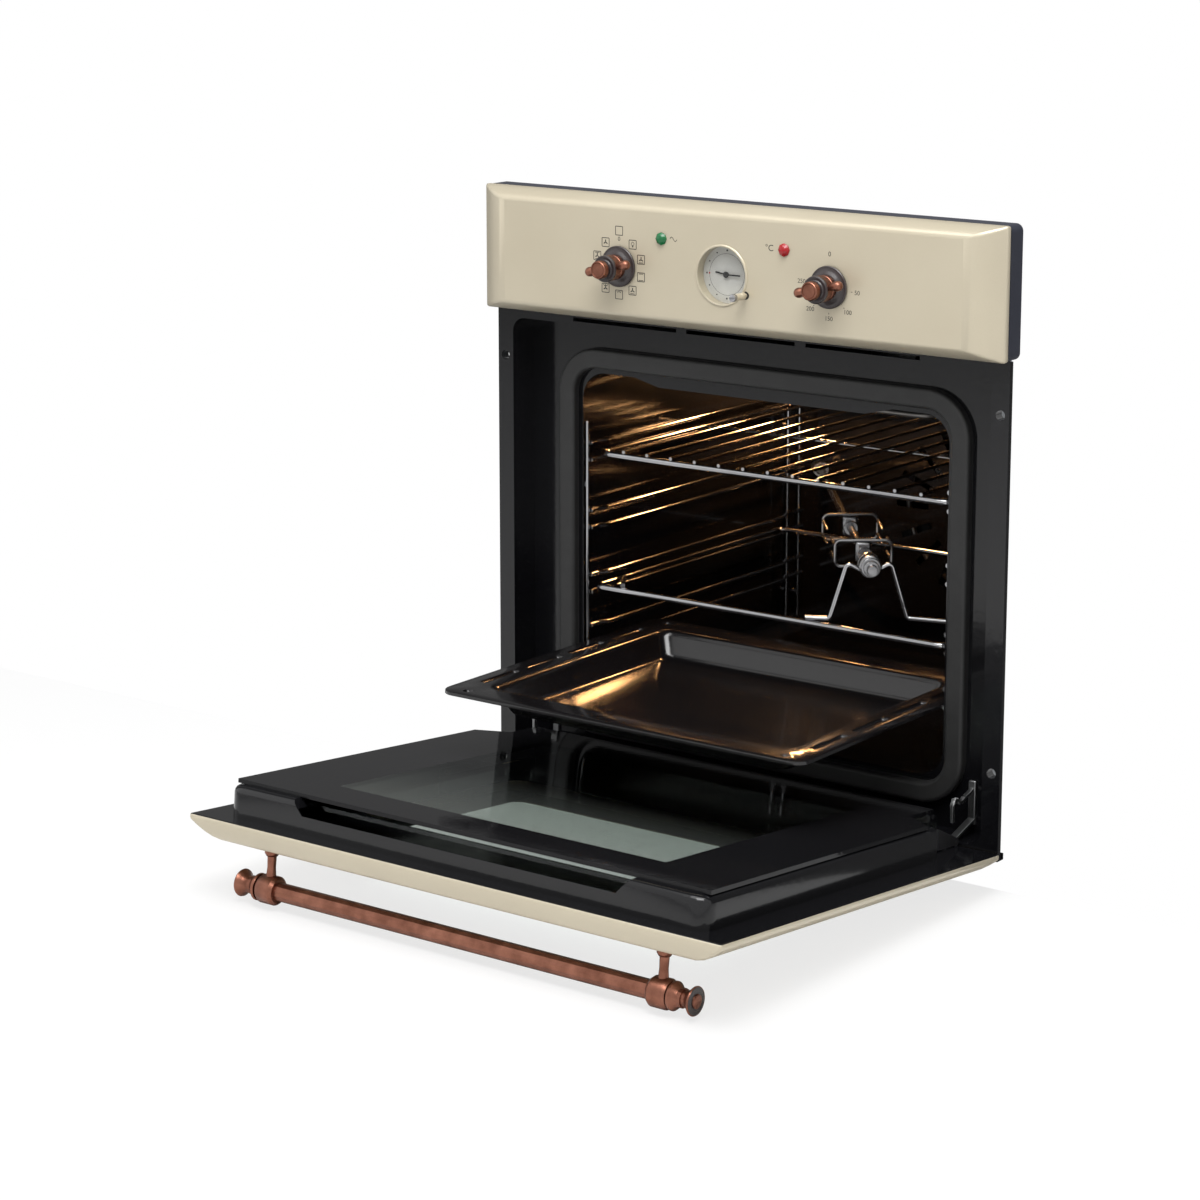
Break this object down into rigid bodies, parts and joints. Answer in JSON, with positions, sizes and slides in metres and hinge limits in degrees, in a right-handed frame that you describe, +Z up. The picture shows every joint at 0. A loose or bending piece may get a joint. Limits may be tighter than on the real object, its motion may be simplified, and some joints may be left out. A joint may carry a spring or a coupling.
{
  "type": "built-in oven",
  "caption": "Built-in electric oven with a bevelled control panel, drop-down glazed door, bar handle, wire rack, diagonal rotisserie and baking tray.",
  "frame": {"origin": "middle of the flange's lower rear edge, which bears on the cabinet, at the level of the shelf under the base", "axes": "+X right seen from the front, +Y into the cabinet, +Z up"},
  "size_m": [0.595, 1.0083, 0.6214],
  "materials": {
    "cream_enamel": "satin",
    "black_enamel": "gloss",
    "navy_sheet": "satin",
    "galvanised": "satin",
    "seal_rubber": "matte",
    "mineral_wool": "matte",
    "antique_copper": "satin",
    "dark_bakelite": "satin",
    "chrome_wire": "polished",
    "bright_steel": "satin",
    "heater_steel": "satin",
    "dial_white": "matte",
    "hand_black": "satin",
    "clear_glass": "polished",
    "printed_glass": "polished",
    "green_lens": "polished",
    "red_lens": "polished",
    "black_plastic": "matte",
    "motor_steel": "satin",
    "lamp_glass": "polished"
  },
  "bodies": {
    "oven_body": {"front_frame": "black_enamel", "cavity_liner": "black_enamel", "door_gasket": "seal_rubber", "insulation_jacket": "mineral_wool", "side_panels": "galvanised", "top_cover": "galvanised", "base_plate": "galvanised", "rear_panel": "galvanised", "casing_screws": "bright_steel", "fascia": "cream_enamel", "fascia_box": "navy_sheet", "selector_switch": "black_plastic", "thermostat": "black_plastic", "clock_case": "cream_enamel", "clock_dial": "dial_white", "clock_lens": "clear_glass", "green_pilot": "green_lens", "red_pilot": "red_lens", "fan_cover": "black_enamel", "fan_motor": "motor_steel", "ring_element": "heater_steel", "grill_element": "heater_steel", "bottom_element": "heater_steel", "lamp_holder": "bright_steel", "lamp_bulb": "lamp_glass", "lamp_lens": "lamp_glass", "rack_ladders": "chrome_wire", "rotisserie_motor": "motor_steel", "cooling_fan_housing": "galvanised", "cooling_fan_motor": "motor_steel", "terminal_block": "black_plastic", "hinge_receivers": "galvanised", "hinge_arms": "bright_steel"},
    "door": {"door_skin": "cream_enamel", "door_shell": "black_enamel", "inner_glass": "printed_glass", "middle_glass": "clear_glass", "outer_glass": "printed_glass", "handle_bar": "antique_copper", "handle_ends": "antique_copper", "handle_posts": "antique_copper", "hinge_cases": "galvanised", "hinge_pins": "bright_steel"},
    "tray": {"baking_tray": "black_enamel"},
    "rack": {"wire_rack": "chrome_wire"},
    "spit_carrier": {"rotisserie_frame": "chrome_wire"},
    "spit_with_forks": {"spit": "chrome_wire", "spit_forks": "chrome_wire"},
    "spit_drive": {"spit_socket": "bright_steel"},
    "selector_knob": {"selector_knob_skirt": "dark_bakelite", "selector_knob_grip": "antique_copper", "selector_knob_cap": "antique_copper"},
    "thermostat_knob": {"thermostat_knob_skirt": "dark_bakelite", "thermostat_knob_grip": "antique_copper", "thermostat_knob_cap": "antique_copper"},
    "clock_minute": {"minute_hand": "hand_black"},
    "clock_hour": {"hour_hand": "hand_black"},
    "clock_stem": {"setting_stem": "chrome_wire"},
    "convection_impeller": {"convection_fan": "bright_steel"},
    "cooling_rotor": {"cooling_fan_rotor": "galvanised"}
  },
  "joints": [
    {"name": "door_hinge", "type": "hinge", "parent": "oven_body", "child": "door", "pos_m": [0, -0.01635, 0.0081], "axis": [1, 0, 0], "range_deg": [-84.5, 0]},
    {"name": "tray_slide", "type": "slide", "parent": "oven_body", "child": "tray", "axis": [0, -1, 0], "range_m": [-0.289, 0]},
    {"name": "rack_slide", "type": "slide", "parent": "oven_body", "child": "rack", "axis": [0, -1, 0], "range_m": [0, 0.3]},
    {"name": "spit_carrier_slide", "type": "slide", "parent": "oven_body", "child": "spit_carrier", "axis": [0, -1, 0], "range_m": [0, 0.3]},
    {"name": "spit_drive_turn", "type": "hinge", "parent": "oven_body", "child": "spit_drive", "pos_m": [0.1009, 0.0676, 0.237], "axis": [-0.6225, 0.7826, 0], "continuous": true},
    {"name": "spit_turn", "type": "hinge", "parent": "spit_carrier", "child": "spit_with_forks", "pos_m": [0.1009, 0.0676, 0.237], "axis": [-0.6225, 0.7826, 0], "continuous": true},
    {"name": "selector_turn", "type": "hinge", "parent": "oven_body", "child": "selector_knob", "pos_m": [-0.12, -0.0423, 0.5225], "axis": [0, 1, 0], "continuous": true},
    {"name": "thermostat_turn", "type": "hinge", "parent": "oven_body", "child": "thermostat_knob", "pos_m": [0.12, -0.0423, 0.5225], "axis": [0, 1, 0], "range_deg": [0, 285]},
    {"name": "minute_turn", "type": "hinge", "parent": "oven_body", "child": "clock_minute", "pos_m": [0, -0.0423, 0.5234], "axis": [0, 1, 0], "continuous": true},
    {"name": "hour_turn", "type": "hinge", "parent": "oven_body", "child": "clock_hour", "pos_m": [0, -0.0423, 0.5234], "axis": [0, 1, 0], "continuous": true},
    {"name": "setting_turn", "type": "hinge", "parent": "oven_body", "child": "clock_stem", "pos_m": [0.0273, -0.0423, 0.5067], "axis": [0, 1, 0], "continuous": true},
    {"name": "convection_turn", "type": "hinge", "parent": "oven_body", "child": "convection_impeller", "pos_m": [0, 0.4691, 0.212], "axis": [0, 1, 0], "continuous": true},
    {"name": "cooling_turn", "type": "hinge", "parent": "oven_body", "child": "cooling_rotor", "pos_m": [0, 0.0941, 0.4704], "axis": [1, 0, 0], "continuous": true}
  ],
  "couplings": [
    {"joint": "tray_slide", "follows": "door_hinge", "m_per_rad": 0.19596},
    {"joint": "spit_drive_turn", "follows": "spit_turn", "ratio": 1},
    {"joint": "hour_turn", "follows": "minute_turn", "ratio": 0.083333}
  ]
}
